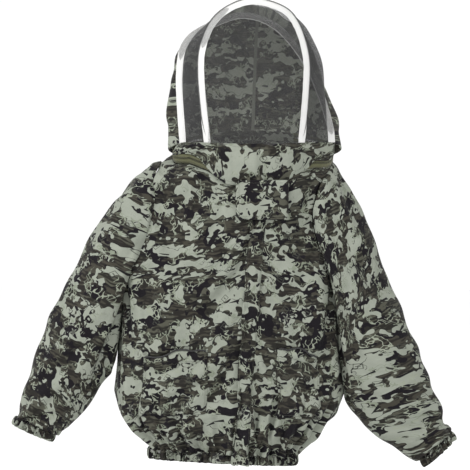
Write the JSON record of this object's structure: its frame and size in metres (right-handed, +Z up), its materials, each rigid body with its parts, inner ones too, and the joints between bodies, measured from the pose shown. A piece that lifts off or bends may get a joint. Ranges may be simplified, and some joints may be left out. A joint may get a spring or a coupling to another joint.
{
  "type": "beekeeping jacket",
  "caption": "Beekeeping jacket with a zipped-on veil hood held up by hoops, a front zip, patch pockets, a throat flap and elastic hem and cuffs.",
  "frame": {"origin": "middle of the neck at the height where the inside of the jacket rests on the shoulders", "axes": "+Z up through the hood, front of the jacket towards -Y, the wearer's left towards +X"},
  "size_m": [1.1002, 0.3095, 1.1558],
  "materials": {
    "camo_fabric": "woven cotton-polyester with a green and brown camouflage print",
    "veil_net": "black knitted net, see-through",
    "white_tape": "white woven tape",
    "olive_tape": "olive woven zip tape",
    "black_tape": "black woven zip tape",
    "zip_teeth": "moulded plastic teeth",
    "zip_metal": "worn plated metal",
    "elastic": "white knitted elastic",
    "hoop_rod": "springy plastic rod",
    "hook_and_loop": "black hook-and-loop tape"
  },
  "bodies": {
    "jacket": {"nape_band": "camo_fabric", "front_panel_left": "camo_fabric", "front_panel_right": "camo_fabric", "back_panel": "camo_fabric", "hem_casing": "camo_fabric", "hem_elastic": "elastic", "pocket_left": "camo_fabric", "pocket_right": "camo_fabric", "zip_fly": "camo_fabric", "front_zip_tape_left": "black_tape", "front_zip_tape_right": "black_tape", "front_zip_teeth_left": "zip_teeth", "front_zip_teeth_right": "zip_teeth", "front_zip_top_stops": "zip_metal", "front_zip_bottom_box": "zip_metal", "neck_zip_lower_tape": "olive_tape", "neck_zip_lower_teeth": "zip_teeth", "throat_loop_patch": "hook_and_loop"},
    "zip_slider": {"front_zip_slider": "zip_metal"},
    "zip_pull": {"front_zip_pull": "zip_metal"},
    "left_neck_slider": {"neck_slider_left": "zip_metal"},
    "left_neck_pull": {"neck_pull_left": "zip_metal"},
    "right_neck_slider": {"neck_slider_right": "zip_metal"},
    "right_neck_pull": {"neck_pull_right": "zip_metal"},
    "flap": {"throat_flap": "camo_fabric", "throat_hook_patch": "hook_and_loop"},
    "left_sleeve": {"sleeve_left": "camo_fabric", "cuff_casing_left": "camo_fabric", "cuff_elastic_left": "elastic"},
    "right_sleeve": {"sleeve_right": "camo_fabric", "cuff_casing_right": "camo_fabric", "cuff_elastic_right": "elastic"},
    "hood": {"neck_zip_upper_tape": "olive_tape", "neck_zip_upper_teeth": "zip_teeth", "hood_neck_band": "camo_fabric", "hood_back_left": "camo_fabric", "hood_back_right": "camo_fabric", "veil_front": "veil_net", "veil_crown": "veil_net", "front_hoop_casing": "white_tape", "front_hoop_rod": "hoop_rod", "rear_hoop_casing": "white_tape", "rear_hoop_rod": "hoop_rod"}
  },
  "joints": [
    {"name": "front_zip_travel", "type": "slide", "parent": "jacket", "child": "zip_slider", "axis": [-0.0793, 0.0154, -0.9967], "range_m": [0, 0.655]},
    {"name": "front_pull_swing", "type": "hinge", "parent": "zip_slider", "child": "zip_pull", "pos_m": [0.01431, -0.09862, -0.07504], "axis": [0, -0.9999, -0.0155], "range_deg": [-7, 14]},
    {"name": "neck_zip_left_travel", "type": "hinge", "parent": "jacket", "child": "left_neck_slider", "pos_m": [0, 0.16747, 0.09033], "axis": [0, -0.454, 0.891], "range_deg": [0, 20]},
    {"name": "neck_pull_left_swing", "type": "hinge", "parent": "left_neck_slider", "child": "left_neck_pull", "pos_m": [0.01182, -0.10662, -0.04933], "axis": [0.0329, -0.997, 0.07], "range_deg": [-10, 10]},
    {"name": "neck_zip_right_travel", "type": "hinge", "parent": "jacket", "child": "right_neck_slider", "pos_m": [0, 0.16747, 0.09033], "axis": [0, -0.454, 0.891], "range_deg": [-7, 0]},
    {"name": "neck_pull_right_swing", "type": "hinge", "parent": "right_neck_slider", "child": "right_neck_pull", "pos_m": [-0.01182, -0.10662, -0.04933], "axis": [-0.0329, -0.997, 0.07], "range_deg": [-10, 10]},
    {"name": "throat_flap_lift", "type": "hinge", "parent": "jacket", "child": "flap", "pos_m": [0.087, -0.11122, -0.11], "axis": [0, 0, 1], "range_deg": [0, 150]},
    {"name": "sleeve_left_lift", "type": "hinge", "parent": "jacket", "child": "left_sleeve", "pos_m": [0.205, 0, -0.022], "axis": [0, -1, 0], "range_deg": [0, 55]},
    {"name": "sleeve_right_lift", "type": "hinge", "parent": "jacket", "child": "right_sleeve", "pos_m": [-0.232, 0, -0.018], "axis": [0, 1, 0], "range_deg": [0, 55]},
    {"name": "hood_flip", "type": "hinge", "parent": "jacket", "child": "hood", "pos_m": [0, 0.112, 0.06], "axis": [-1, 0, 0], "range_deg": [0, 95]}
  ]
}
